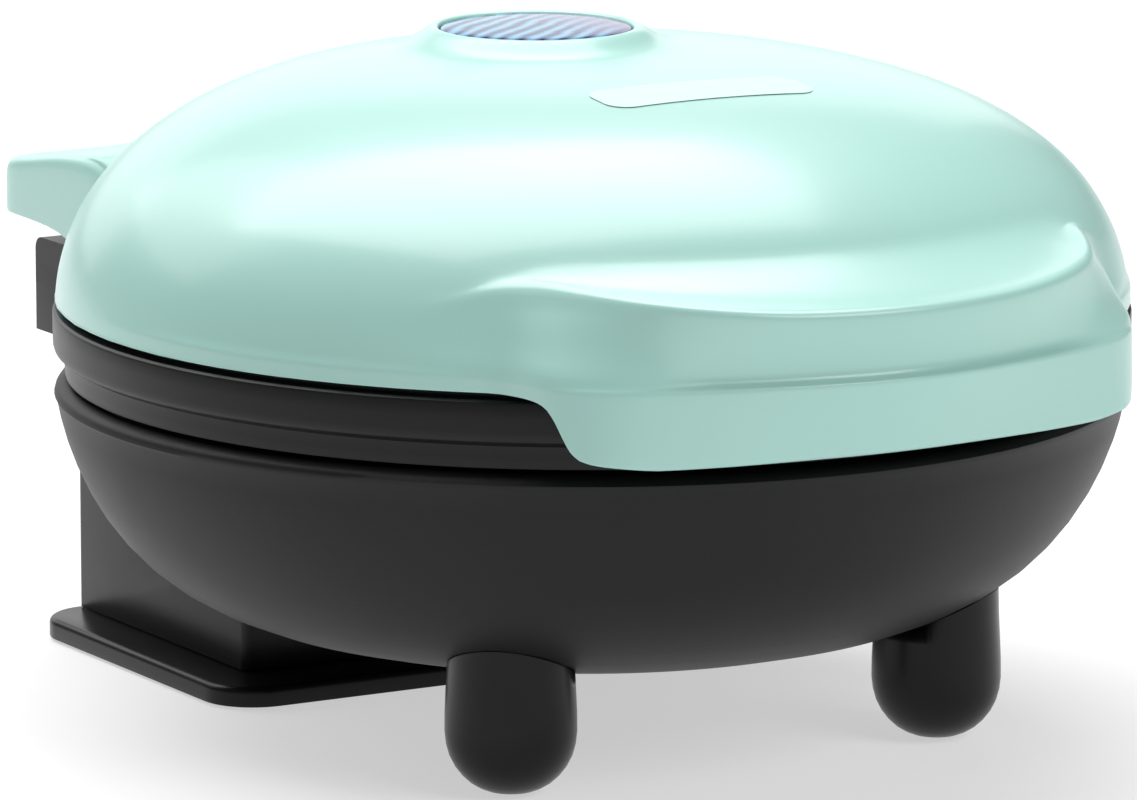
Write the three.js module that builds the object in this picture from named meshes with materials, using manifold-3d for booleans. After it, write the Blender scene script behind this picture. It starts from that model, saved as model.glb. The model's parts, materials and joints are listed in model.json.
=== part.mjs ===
// Seven-ring donut maker: a round two-plate press whose domed lid opens on a rear hinge.
// Millimetres, +Z up. The front, with the lid's grip, faces -Y. The origin is on the table,
// under the middle of the whole object; the round body's own axis stands at Y = BODY_Y.

import * as THREE from 'three';
import { mergeVertices } from 'three/addons/utils/BufferGeometryUtils.js';
import Module from 'manifold-3d';

const wasm = await Module();
wasm.setup();

// ---- driving dimensions ----

const BODY_Y = -3.5; // the round body's axis, from the middle of the whole object
const RIM_R = 104; // widest radius of the base and of the lid
const WALL = 2.2; // moulded wall of the plastic shells
const GAP = 0.3; // clearance between fitted pieces

const BASE_FACE_Z = 66.7; // cooking face of the lower plate
const LID_FACE_Z = 67.9; // cooking face of the upper plate
const PLATE_R = 98.7; // outer radius of both cooking plates
const PLATE_DEPTH = 6; // height of a plate's rim wall
const PLATE_SKIN = 2.6; // thickness of the cast plate
const RING_R = 17.75; // middle radius of one donut
const RING_TUBE_R = 9.25; // half the thickness of one donut
const RING_ORBIT_R = 58; // the six outer donuts' centres, from the middle
const OUTER_RINGS = 6;

const LID_EDGE_Z = 82.4; // lower edge of the lid cover at its sides
const DOME_BASE_Z = 79;
const DOME_RISE = 49.4;
const DOME_LEAN = 10.2; // how far the dome's top leans to the back
const GRIP_EDGE_Z = 70.3; // lower edge of the grip's skirt
const GRIP_CREASE_Z = 85;

const HINGE_Y = 112; // hinge axis, in the round body's frame
const HINGE_Z = 69.5;
const HINGE_R = 7; // knuckle on top of the cord-wrap tower
const HINGE_EYE_R = 7.5; // half width of the square end of each lid arm
const PIN_R = 3;
const ARM_IN_X = 52.3; // inner and outer faces of the lid's hinge arms
const ARM_OUT_X = 60;

const TOWER_X = 51.5; // half width of the cord-wrap tower
const TOWER_FRONT_Y = 47;
const TOWER_BACK_Y = 119;
const TOWER_CORNER_R = 1.8;
const FOOT_PLATE_X = 62; // half width of the rear foot plate
const FOOT_PLATE_FRONT_Y = 33;
const FOOT_PLATE_BACK_Y = 119.5;
const FOOT_PLATE_H = 4.1;

const FOOT_X = 47; // the two front feet
const FOOT_Y = -50.8;
const FOOT_R = 12.5;

const LENS_Y = 21.7; // centre of the indicator lens, in the round body's frame
const LENS_R = 18.6;
const LENS_TOP_Z = 132;

// ---- shaping helpers ----

const degrees = THREE.MathUtils.degToRad;
const smooth = THREE.MathUtils.smoothstep;

// Joins coincident corners, drops collapsed triangles and turns the faces outwards.
function weld(geometry) {
  geometry.deleteAttribute('normal');
  geometry.deleteAttribute('uv');
  const welded = mergeVertices(geometry, 1e-4);
  const place = welded.getAttribute('position');
  const corners = welded.getIndex().array;
  const kept = [];
  let volume = 0;
  const [a, b, c] = [new THREE.Vector3(), new THREE.Vector3(), new THREE.Vector3()];
  for (let i = 0; i < corners.length; i += 3) {
    const [p, q, r] = corners.slice(i, i + 3);
    if (p === q || q === r || r === p) {
      continue;
    }
    kept.push([p, q, r]);
    a.fromBufferAttribute(place, p);
    b.fromBufferAttribute(place, q);
    c.fromBufferAttribute(place, r);
    volume += a.dot(b.cross(c));
  }
  const turned = volume < 0 ? kept.map(([p, q, r]) => [p, r, q]) : kept;
  welded.setIndex(turned.flat());
  return welded;
}

// Columns of points round a full turn become one closed skin. Each column starts and ends on
// the axis, or, with `looped`, closes on itself.
function skin(columns, looped = false) {
  const rows = columns[0].length;
  const strips = looped ? rows : rows - 1;
  const index = [];
  columns.forEach((column, here) => {
    const beside = (here + 1) % columns.length;
    for (let row = 0; row < strips; row++) {
      const next = (row + 1) % rows;
      const [a, b] = [here * rows + row, beside * rows + row];
      const [c, d] = [beside * rows + next, here * rows + next];
      index.push(a, b, c, a, c, d);
    }
  });
  const geometry = new THREE.BufferGeometry().setFromPoints(columns.flat());
  geometry.setIndex(index);
  return weld(geometry);
}

// A closed outline of [radius, height] points turned about the upright axis.
function turned(outline, segments, y = 0, x = 0) {
  const points = outline.map(([r, z]) => new THREE.Vector2(r, z));
  if (outline[0][0] > 0) {
    points.push(points[0].clone());
  }
  const lathe = new THREE.LatheGeometry(points, segments);
  return weld(lathe.rotateX(Math.PI / 2).translate(x, y, 0));
}

function cylinder(radius, low, high, segments, x = 0, y = 0) {
  return turned([[0, low], [radius, low], [radius, high], [0, high]], segments, y, x);
}

function roundedRectangle(x0, y0, x1, y1, radius) {
  const shape = new THREE.Shape();
  shape.absarc(x1 - radius, y0 + radius, radius, -Math.PI / 2, 0);
  shape.absarc(x1 - radius, y1 - radius, radius, 0, Math.PI / 2);
  shape.absarc(x0 + radius, y1 - radius, radius, Math.PI / 2, Math.PI);
  shape.absarc(x0 + radius, y0 + radius, radius, Math.PI, 1.5 * Math.PI);
  return shape;
}

// A flat shape raised straight up from one height to another.
function upright(shape, low, high, curveSegments = 4) {
  const options = { depth: high - low, bevelEnabled: false, curveSegments };
  return weld(new THREE.ExtrudeGeometry(shape, options).translate(0, 0, low));
}

// A shape drawn as [y, z] and run across the object from one x to another.
function across(shape, x0, x1, curveSegments = 6) {
  const options = { depth: x1 - x0, bevelEnabled: false, curveSegments };
  const geometry = new THREE.ExtrudeGeometry(shape, options);
  geometry.rotateX(Math.PI / 2).rotateZ(Math.PI / 2);
  return weld(geometry.translate(x0, 0, 0));
}

function polygon(points) {
  return new THREE.Shape(points.map(([x, y]) => new THREE.Vector2(x, y)));
}

function box(x0, y0, z0, x1, y1, z1) {
  const geometry = new THREE.BoxGeometry(x1 - x0, y1 - y0, z1 - z0);
  return weld(geometry.translate((x0 + x1) / 2, (y0 + y1) / 2, (z0 + z1) / 2));
}

function solid(geometry) {
  const vertProperties = new Float32Array(geometry.getAttribute('position').array);
  const triVerts = new Uint32Array(geometry.getIndex().array);
  return new wasm.Manifold(new wasm.Mesh({ numProp: 3, vertProperties, triVerts }));
}

function surface(body) {
  const mesh = body.getMesh();
  const geometry = new THREE.BufferGeometry();
  geometry.setAttribute('position', new THREE.BufferAttribute(mesh.vertProperties, 3));
  geometry.setIndex(new THREE.BufferAttribute(mesh.triVerts, 1));
  return geometry;
}

function join(...geometries) {
  return surface(geometries.map(solid).reduce((whole, piece) => whole.add(piece)));
}

function cut(geometry, ...tools) {
  return surface(tools.map(solid).reduce((rest, tool) => rest.subtract(tool), solid(geometry)));
}

function common(first, second) {
  return surface(solid(first).intersect(solid(second)));
}

function bodyPoint(angle, radius, z, lean = 0) {
  return new THREE.Vector3(radius * Math.sin(angle), lean - radius * Math.cos(angle), z);
}

function turnAngles(count) {
  return Array.from({ length: count }, (_, i) => (i / count) * 2 * Math.PI);
}

// ---- materials ----

function finish(color, roughness, metalness = 0) {
  return new THREE.MeshStandardMaterial({ color, roughness, metalness });
}

const mintPlastic = finish(0xbfe3d6, 0.22);
const satinBlack = finish(0x1b1c1d, 0.42);
const matteBlack = finish(0x26272a, 0.6);
const footBlack = finish(0x161718, 0.35);
const nonStick = finish(0x2b2b2d, 0.5, 0.1);
const sheathSteel = finish(0x6e6a64, 0.4, 0.9);
const reflectorAluminium = finish(0xc9cbcc, 0.35, 0.95);
const zincSteel = finish(0xa9abad, 0.35, 0.9);
const tintedLens = finish(0x93a6cf, 0.12);
const ceramic = finish(0xe6e2d6, 0.5);
const circuitGreen = finish(0x2d6b45, 0.5);
const lampRed = finish(0xd8452f, 0.25);
const lampWhite = finish(0xf0ede4, 0.25);

// ---- base housing ----

const BOWL_TOP_Z = 69;
const BOWL_DROP = 51.26;
const BOWL_R = 103.73;
const BOWL_COLUMNS = 32;
const LEDGE_R = 95.5; // inner radius of the shelf that carries a cooking plate

// The bowl's outside at parameter t: 0 under the rim, 90 degrees at the bottom.
function bowlRow(t, offset = 0) {
  const radius = (BOWL_R + offset) * Math.cos(t) ** (2 / 4.642);
  const z = BOWL_TOP_Z - (BOWL_DROP + offset) * Math.sin(t) ** (2 / 1.652);
  const lean = 0.47 + 1.77 * Math.sin(t) ** 2.12;
  return { radius: Math.max(radius, 0), z, lean };
}

const BOWL_STEPS = [10, 20, 31, 42, 53, 64, 75, 84].map(degrees);

// The bowl as a full block, grown by an offset: the tool that trims what stands under it.
function bowlBlock(offset) {
  const bottom = bowlRow(Math.PI / 2, offset);
  const rows = BOWL_STEPS.map((t) => bowlRow(t, offset));
  const top = { radius: RIM_R + offset, z: BOWL_TOP_Z, lean: 0.4 };
  const columns = turnAngles(BOWL_COLUMNS).map((angle) => [
    new THREE.Vector3(0, bottom.lean, BOWL_TOP_Z),
    ...[top, ...rows].map((row) => bodyPoint(angle, row.radius, row.z, row.lean)),
    new THREE.Vector3(0, bottom.lean, bottom.z),
  ]);
  return skin(columns);
}

// A moulded bowl with a rounded rim, and inside the rim the ledge for the lower plate.
function baseHousing() {
  const ledgeZ = BASE_FACE_Z - PLATE_DEPTH - GAP;
  const innerR = PLATE_R + GAP + 0.1;
  const rim = [[innerR, 66.6], [101, 66.9], [102.6, 66.3], [103.5, 65]];
  const ledge = [[98.2, ledgeZ - 5.5], [LEDGE_R, ledgeZ - 2.6], [LEDGE_R, ledgeZ], [innerR, ledgeZ]];
  const outerRows = BOWL_STEPS.map((t) => bowlRow(t));
  const innerRows = BOWL_STEPS.slice(2).map((t) => bowlRow(t, -WALL)).reverse();
  const poleOut = bowlRow(Math.PI / 2);
  const poleIn = bowlRow(Math.PI / 2, -WALL);
  const columns = turnAngles(BOWL_COLUMNS).map((angle) => [
    new THREE.Vector3(0, poleIn.lean, poleIn.z),
    ...innerRows.map((row) => bodyPoint(angle, row.radius, row.z, row.lean)),
    ...ledge.map(([r, z]) => bodyPoint(angle, r, z)),
    ...rim.map(([r, z]) => bodyPoint(angle, r, z)),
    ...outerRows.map((row) => bodyPoint(angle, row.radius, row.z, row.lean)),
    new THREE.Vector3(0, poleOut.lean, poleOut.z),
  ]);
  const wireway = box(-14, 60, 10, 14, 78, 45);
  return cut(skin(columns), wireway);
}

// A post with a domed end that stands on the table and is trimmed to the bowl above it.
function frontFoot(side) {
  const outline = [[0, 0], [4, 0]];
  const domeH = 9.5;
  const domeR = FOOT_R - 4;
  for (const turn of [25, 50, 70, 90].map(degrees)) {
    outline.push([4 + domeR * Math.sin(turn), domeH * (1 - Math.cos(turn))]);
  }
  outline.push([FOOT_R - 0.8, 34], [0, 34]);
  return cut(turned(outline, 16, FOOT_Y, side * FOOT_X), bowlBlock(GAP));
}

// ---- cord-wrap tower, foot plate and hinge pins ----

const POST_INSET = 6; // screw posts, from the tower's outer faces
const POST_R = 4;
const SCREW_R = 1.6;
const SCREW_HEAD_R = 3;

function towerPosts() {
  const ys = [TOWER_FRONT_Y + POST_INSET, TOWER_BACK_Y - POST_INSET];
  const x = TOWER_X - POST_INSET;
  return ys.flatMap((y) => [[-x, y], [x, y]]);
}

function towerSide(inset) {
  const low = FOOT_PLATE_H + GAP - (inset > 0 ? 1 : 0);
  const radius = HINGE_R - inset;
  const shape = new THREE.Shape();
  shape.moveTo(TOWER_FRONT_Y + inset, low);
  shape.lineTo(TOWER_BACK_Y - inset, low);
  shape.absarc(HINGE_Y, HINGE_Z, radius, 0, Math.PI);
  shape.lineTo(HINGE_Y - radius, 58 - inset);
  shape.lineTo(TOWER_FRONT_Y + inset, 30);
  return shape;
}

// A box open at the bottom, closed at its top by the bowl and the long hinge knuckle.
function cordWrapTower() {
  const outside = common(
    across(towerSide(0), -TOWER_X, TOWER_X),
    upright(roundedRectangle(-TOWER_X, TOWER_FRONT_Y, TOWER_X, TOWER_BACK_Y, TOWER_CORNER_R), 0, 90),
  );
  const inside = across(towerSide(WALL), WALL - TOWER_X, TOWER_X - WALL);
  const posts = towerPosts().map(([x, y]) => cylinder(POST_R, FOOT_PLATE_H + GAP, 16, 10, x, y));
  const pilots = towerPosts().map(([x, y]) => cylinder(SCREW_R + 0.1, 0, 14, 8, x, y));
  const bosses = [-1, 1].map((side) => hingeRod(PIN_R + 2.2, side, TOWER_X - 14, TOWER_X - 1));
  const bores = [-1, 1].map((side) => hingeRod(PIN_R + 0.1, side, TOWER_X - 11, TOWER_X + 1));
  const glandHole = cordGlandRod(GLAND_R + 0.1, TOWER_BACK_Y - 8, TOWER_BACK_Y + 1);
  const shell = join(cut(outside, inside), ...posts, ...bosses);
  return cut(shell, ...pilots, ...bores, glandHole, bowlBlock(GAP));
}

function rearFootPlate() {
  const outline = roundedRectangle(
    -FOOT_PLATE_X, FOOT_PLATE_FRONT_Y, FOOT_PLATE_X, FOOT_PLATE_BACK_Y, 11);
  const slab = upright(outline, 0, FOOT_PLATE_H, 5);
  const holes = towerPosts().map(([x, y]) => turned(
    [[0, -1], [SCREW_HEAD_R + GAP, -1], [SCREW_HEAD_R + GAP, 2.2], [SCREW_R + GAP, 2.2],
      [SCREW_R + GAP, FOOT_PLATE_H + 1], [0, FOOT_PLATE_H + 1]], 10, y, x));
  return cut(slab, ...holes);
}

// Pan-head screw, head down, with a cross recess left to the surface finish.
function footPlateScrew() {
  return turned([[0, -1.4], [SCREW_HEAD_R - 0.6, -1.4], [SCREW_HEAD_R, -0.6], [SCREW_HEAD_R, 0],
    [SCREW_R, 0], [SCREW_R, 10], [0, 11]], 8);
}

function hingeRod(radius, side, xNear, xFar) {
  const rod = new THREE.CylinderGeometry(radius, radius, xFar - xNear, 12);
  rod.rotateZ(Math.PI / 2).translate((side * (xNear + xFar)) / 2, HINGE_Y, HINGE_Z);
  return weld(rod);
}

const GLAND_R = 5.5;
const GLAND_X = 0;
const GLAND_Z = 22;

function cordGlandRod(radius, yNear, yFar) {
  const rod = new THREE.CylinderGeometry(radius, radius, yFar - yNear, 14);
  return weld(rod.translate(GLAND_X, (yNear + yFar) / 2, GLAND_Z));
}

// Flanged bush in the tower's back wall: the way in for the mains lead.
function cordGland() {
  const bush = join(
    cordGlandRod(GLAND_R - 0.1, TOWER_BACK_Y - 7, TOWER_BACK_Y + 0.5),
    cordGlandRod(GLAND_R + 1.6, TOWER_BACK_Y + GAP, TOWER_BACK_Y + 2),
  );
  return cut(bush, cordGlandRod(3.4, TOWER_BACK_Y - 8, TOWER_BACK_Y + 3));
}

// ---- cooking plates ----

const TROUGH_SEGMENTS = 12;
const TROUGH_ARC = 4;

function ringCentres() {
  const outer = Array.from({ length: OUTER_RINGS }, (_, i) => {
    const angle = (i / OUTER_RINGS) * 2 * Math.PI;
    return [RING_ORBIT_R * Math.sin(angle), RING_ORBIT_R * Math.cos(angle)];
  });
  return [[0, 0], ...outer];
}

// Half a ring below the plate's face; `rise` carries a cutting ring up through the face.
function halfRing(tubeR, rise, [x, y]) {
  const outline = [[RING_R + tubeR, rise], [RING_R - tubeR, rise]];
  const first = rise > 0 ? 0 : 1;
  const last = rise > 0 ? TROUGH_ARC : TROUGH_ARC - 1;
  for (let i = first; i <= last; i++) {
    const turn = Math.PI + (i / TROUGH_ARC) * Math.PI;
    outline.push([RING_R + tubeR * Math.cos(turn), tubeR * Math.sin(turn)]);
  }
  return turned(outline, TROUGH_SEGMENTS, y, x);
}

const BOSS_ORBIT_R = 91.4; // screw bosses on the back of a plate
const BOSS_TURNS = [30, 150, 270].map(degrees);

function bossCentres() {
  return BOSS_TURNS.map((turn) => [BOSS_ORBIT_R * Math.sin(turn), BOSS_ORBIT_R * Math.cos(turn)]);
}

// Cast pan with seven ring troughs, drawn with its cooking face at z = 0 and its back below.
function cookingPlate() {
  const pan = turned([[0, -PLATE_SKIN], [PLATE_R - PLATE_SKIN, -PLATE_SKIN],
    [PLATE_R - PLATE_SKIN, -PLATE_DEPTH], [PLATE_R, -PLATE_DEPTH], [PLATE_R, -1],
    [PLATE_R - 1, 0], [0, 0]], BOWL_COLUMNS);
  const backs = ringCentres().map((centre) => halfRing(RING_TUBE_R + PLATE_SKIN - 0.3, -0.5, centre));
  const troughs = ringCentres().map((centre) => halfRing(RING_TUBE_R, 1, centre));
  const bosses = bossCentres().map(([x, y]) => cylinder(4, -PLATE_DEPTH, -1, 10, x, y));
  const pilots = bossCentres().map(([x, y]) => cylinder(SCREW_R + 0.1, -PLATE_DEPTH - 1, -2, 8, x, y));
  return cut(join(pan, ...backs, ...bosses), ...troughs, ...pilots);
}

// ---- heating parts behind each plate, drawn with the plate's face at z = 0, back below ----

const ELEMENT_R = 3.2;
const ELEMENT_ORBIT_R = 58;
const ELEMENT_Z = -RING_TUBE_R - PLATE_SKIN - ELEMENT_R - 0.4;

// Sheathed tube element: most of a ring, with both cold ends bent in and away from the plate.
function heatingElement() {
  const first = degrees(22);
  const rise = 7;
  const endPoint = (angle, radius, z) => new THREE.Vector3(
    radius * Math.sin(angle), radius * Math.cos(angle), z);
  const points = [endPoint(first, ELEMENT_ORBIT_R - 16, ELEMENT_Z - rise),
    endPoint(first, ELEMENT_ORBIT_R - 9, ELEMENT_Z - rise + 1)];
  const steps = 16;
  for (let i = 0; i <= steps; i++) {
    const angle = first + (i / steps) * (2 * Math.PI - 2 * first);
    points.push(endPoint(angle, ELEMENT_ORBIT_R, ELEMENT_Z));
  }
  points.push(endPoint(-first, ELEMENT_ORBIT_R - 9, ELEMENT_Z - rise + 1),
    endPoint(-first, ELEMENT_ORBIT_R - 16, ELEMENT_Z - rise));
  const route = new THREE.CatmullRomCurve3(points, false, 'centripetal');
  const section = new THREE.Shape().absarc(0, 0, ELEMENT_R, 0, 2 * Math.PI);
  return weld(new THREE.ExtrudeGeometry(section, {
    extrudePath: route, steps: 26, curveSegments: 4, bevelEnabled: false }));
}

const REFLECTOR_T = 0.8;
const REFLECTOR_DEPTH = 26; // from the plate's face to the reflector's flat middle

// Pressed dish that throws the heat back; its flange is screwed down on the plate's bosses.
function heatReflector() {
  const flangeZ = -PLATE_DEPTH - GAP;
  const deep = -REFLECTOR_DEPTH;
  const outline = [[0, deep], [72, deep], [84, flangeZ - 5], [87, flangeZ], [94.6, flangeZ],
    [94.6, flangeZ - REFLECTOR_T], [87.6, flangeZ - REFLECTOR_T], [84.8, flangeZ - 5.6],
    [72.5, deep - REFLECTOR_T], [0, deep - REFLECTOR_T]];
  const holes = bossCentres().map(([x, y]) => cylinder(SCREW_R + GAP, -12, 0, 8, x, y));
  const slots = [-1, 1].map((side) => cylinder(
    ELEMENT_R + 1, -40, -20, 10,
    side * (ELEMENT_ORBIT_R - 14) * Math.sin(degrees(22)),
    (ELEMENT_ORBIT_R - 14) * Math.cos(degrees(22))));
  return cut(turned(outline, 24), ...holes, ...slots);
}

// Screw through the reflector's flange into a plate boss, head away from the plate.
function plateScrew() {
  const seat = -PLATE_DEPTH - REFLECTOR_T - 2 * GAP;
  return turned([[0, seat - 1.8], [SCREW_HEAD_R - 0.6, seat - 1.8], [SCREW_HEAD_R, seat - 1],
    [SCREW_HEAD_R, seat], [SCREW_R, seat], [SCREW_R, -3], [0, -2.4]], 8);
}

// Snap-disc thermostat: metal cap against the reflector, ceramic body and two blade terminals.
function thermostat() {
  const top = -REFLECTOR_DEPTH - REFLECTOR_T - GAP;
  const can = turned([[0, top], [7.4, top], [8, top - 0.8], [8, top - 3.4], [6.9, top - 3.8],
    [6.9, top - 9], [0, top - 9]], 14);
  const blades = [-1, 1].map((side) => box(
    side * 3.5 - 0.5, -2.4, top - 14, side * 3.5 + 0.5, 2.4, top - 8.5));
  return join(can, ...blades);
}

// One-shot fuse in a glass sleeve, lying on the reflector's back.
function thermalFuse() {
  const body = new THREE.CylinderGeometry(2.6, 2.6, 18, 10);
  const leads = new THREE.CylinderGeometry(0.7, 0.7, 34, 8);
  const whole = join(weld(body), weld(leads));
  return whole.rotateZ(Math.PI / 2).translate(0, 0, -REFLECTOR_DEPTH - REFLECTOR_T - 3.2);
}

// Two-way block on the floor of the tower where the mains lead meets the inner wires.
function terminalBlock() {
  const block = box(-13, 82, FOOT_PLATE_H + 1, 13, 96, FOOT_PLATE_H + 12);
  const wells = [-6, 6].map((x) => cylinder(2.4, FOOT_PLATE_H + 7, FOOT_PLATE_H + 14, 8, x, 89));
  const wireways = [-6, 6].map((x) => {
    const rod = new THREE.CylinderGeometry(1.8, 1.8, 20, 8);
    return weld(rod.translate(x, 89, FOOT_PLATE_H + 4.5));
  });
  return cut(block, ...wells, ...wireways);
}

// ---- lid cover ----

// Radius of the plain dome at a height.
function domeRadius(z) {
  const rise = ((z - DOME_BASE_Z) / DOME_RISE) ** (2.136 / 2);
  return RIM_R * (1 - rise * rise) ** (1 / 3.213);
}

function domeRow(t, offset = 0) {
  return {
    radius: (RIM_R + offset) * Math.cos(t) ** (2 / 3.213),
    z: DOME_BASE_Z + (DOME_RISE + offset) * Math.sin(t) ** (2 / 2.136),
    lean: DOME_LEAN * Math.sin(t) ** 8,
  };
}

// Value at x on a line of [x, value] pairs.
function along(keys, x) {
  const next = keys.findIndex(([key]) => key > x);
  if (next < 0) {
    return keys[keys.length - 1][1];
  }
  const [[x0, v0], [x1, v1]] = [keys[Math.max(next - 1, 0)], keys[next]];
  return x1 === x0 ? v1 : v0 + ((v1 - v0) * (x - x0)) / (x1 - x0);
}

// The grip's three lines seen from above, as [degrees off the front, radius].
const CREST_LINE = [[0, 117.5], [12, 117.2], [17, 116.6], [25.5, 112.7], [31, 107.6], [37, 101.5]];
const CREASE_LINE = [[0, 117], [8.6, 116], [14.4, 115.4], [21, 115.6], [27, 115.8], [30, 115.2],
  [32, 114.2], [34, 112.6], [36, 109.9], [38, 106.6], [41, 104.3], [43, RIM_R]];
const SKIRT_LINE = [[0, 111.4], [12, 112], [21, 114.2], [27, 116], [30, 115.8], [32, 114.5],
  [34, 112.5], [36, 109.5], [38, 106.2], [41, RIM_R]];
const SKIRT_EDGE = [[0, GRIP_EDGE_Z], [24, GRIP_EDGE_Z], [30, 71.6], [32, 73.4], [33, 76.8],
  [34, 80.6], [35, 82], [36.5, LID_EDGE_Z]];
const CREST_HEIGHT = [[0, 98.5], [10, 98.5], [25.5, 101.2], [37, 103.6]];

const TOP_STEPS = [84, 77, 68, 57, 44].map(degrees);
const SHELF_Z = 104; // where the grip's shelf leaves the dome

// Outer rows of the lid below the shelf line, from the shelf to the lower edge.
function lowerRows(off) {
  const grip = 1 - smooth(off, 34, 47);
  const crestR = along(CREST_LINE, off);
  const crestZ = along(CREST_HEIGHT, off);
  const creaseR = Math.max(along(CREASE_LINE, off), domeRadius(GRIP_CREASE_Z));
  const skirtR = Math.max(along(SKIRT_LINE, off), domeRadius(LID_EDGE_Z));
  const edgeZ = along(SKIRT_EDGE, off);
  const shelfR = domeRadius(SHELF_Z);
  const plain = [101.2, 98.2, 95, 91, 87.5].map((z) => [domeRadius(z), z]);
  const shaped = [
    [(shelfR + crestR) / 2, (SHELF_Z + crestZ) / 2 - 0.8],
    [crestR - 1.6, crestZ],
    [crestR, crestZ - 1.8],
    [(crestR + creaseR) / 2 - 1, 92],
    [creaseR - 0.4, 86.6],
  ];
  const blended = plain.map(([r, z], i) => [
    r + (shaped[i][0] - r) * grip, z + (shaped[i][1] - z) * grip]);
  return [[shelfR, SHELF_Z], ...blended, [creaseR, GRIP_CREASE_Z],
    [(creaseR + skirtR) / 2, (GRIP_CREASE_Z + edgeZ) / 2], [skirtR, edgeZ]];
}

const GRIP_TURNS = [0, 8, 15, 21, 27, 30, 32, 33, 34, 36, 38, 41, 47, 55];
const SIDE_TURNS = Array.from({ length: 9 }, (_, i) => 65 + i * 13);

function lidTurns() {
  const half = [...GRIP_TURNS, ...SIDE_TURNS];
  const other = half.slice(1).reverse().map((turn) => 360 - turn);
  return [...half, 180, ...other];
}

// The dome with the grip drawn out of its front, as one thin shell.
function lidShell() {
  const poleOut = domeRow(Math.PI / 2);
  const poleIn = domeRow(Math.PI / 2, -WALL);
  const innerTop = TOP_STEPS.slice(0, 4).reverse().map((t) => domeRow(t, -WALL));
  const columns = lidTurns().map((turn) => {
    const angle = degrees(turn);
    const lower = lowerRows(Math.min(turn, 360 - turn));
    const within = lower.slice(3).reverse().map(([r, z]) => [r - WALL, z]);
    within.push([domeRadius(SHELF_Z) - WALL, lower[2][1] - WALL]);
    return [
      new THREE.Vector3(0, poleOut.lean, poleOut.z),
      ...TOP_STEPS.map((t) => domeRow(t)).map((row) => bodyPoint(angle, row.radius, row.z, row.lean)),
      ...lower.map(([r, z]) => bodyPoint(angle, r, z)),
      ...within.map(([r, z]) => bodyPoint(angle, r, z)),
      ...innerTop.map((row) => bodyPoint(angle, row.radius, row.z, row.lean)),
      new THREE.Vector3(0, poleIn.lean, poleIn.z),
    ];
  });
  return skin(columns);
}

const EAR_X = 66; // the lid's rear hood over the hinge
const EAR_BACK_Y = 124.5;
const EAR_CORNER_R = 5;

function earBlock(inset) {
  const back = EAR_BACK_Y - inset;
  const drop = inset > 0 ? 3 : 0;
  const side = polygon([[58, 82.6 - drop], [90, 83.6 - drop], [100, 86 - drop],
    [back - 1.5, 86.4 - drop], [back, 88 - drop], [back - 0.5, 92 - inset], [back - 3.5, 96.3 - inset],
    [108, 100.2 - inset], [96, 103 - inset], [58, 104 - inset]]);
  const plan = roundedRectangle(inset - EAR_X, 50, EAR_X - inset, back, EAR_CORNER_R - inset);
  return common(across(side, -EAR_X, EAR_X), upright(plan, 70, 110, 4));
}

const LENS_BOSS = [[0, 118], [24, 118], [26.5, 127.2], [23.4, 129.4], [21.6, 131.4], [20.6, 131.8],
  [0, 131.8]];

// The domed cover: shell, hinge hood at the back and the raised seat of the indicator lens.
function lidCover() {
  const innerDome = skin(turnAngles(BOWL_COLUMNS).map((angle) => [
    new THREE.Vector3(0, 0, LID_EDGE_Z - 6),
    bodyPoint(angle, RIM_R - WALL, LID_EDGE_Z - 6),
    ...[12, 28, 42, 56, 68, 78].map(degrees).map((t) => domeRow(t, -WALL))
      .map((row) => bodyPoint(angle, row.radius, row.z, row.lean)),
    new THREE.Vector3(0, DOME_LEAN, domeRow(Math.PI / 2, -WALL).z),
  ]));
  const hood = cut(earBlock(0), earBlock(WALL), innerDome);
  const boss = cut(turned(LENS_BOSS, 20, LENS_Y), innerDome);
  const seat = turned([[0, 110], [LENS_R - 2.4, 110], [LENS_R - 2.4, LENS_TOP_Z - 2.8],
    [LENS_R + GAP, LENS_TOP_Z - 2.8], [LENS_R + GAP, 140], [0, 140]], 20, LENS_Y);
  return cut(join(lidShell(), hood, boss), seat);
}

function indicatorLens() {
  return turned([[0, LENS_TOP_Z - 2.4], [LENS_R, LENS_TOP_Z - 2.4], [LENS_R, LENS_TOP_Z - 0.6],
    [LENS_R * 0.6, LENS_TOP_Z - 0.1], [0, LENS_TOP_Z]], 20, LENS_Y);
}

const BOARD_Z = 118;

function indicatorBoard() {
  const board = upright(roundedRectangle(-11, LENS_Y - 9, 11, LENS_Y + 9, 2), BOARD_Z, BOARD_Z + 1.6);
  const slots = [-8, 8].map((x) => cylinder(1.5, BOARD_Z - 1, BOARD_Z + 3, 8, x, LENS_Y - 6));
  return cut(board, ...slots);
}

function indicatorLamp(side) {
  const low = BOARD_Z + 1.6 + GAP;
  return turned([[0, low], [2.9, low], [2.9, low + 1], [2.5, low + 1], [2.5, low + 4],
    [1.6, low + 5.6], [0, low + 6.2]], 10, LENS_Y, side * 5.5);
}

// ---- lid's inner frame, with the two hinge arms ----

const FRAME_TOP_Z = LID_EDGE_Z - 1.4;
const SPIGOT_R = 100.4; // the frame's ring that plugs into the lid cover
const SPIGOT_TOP_Z = 84.5;

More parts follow.
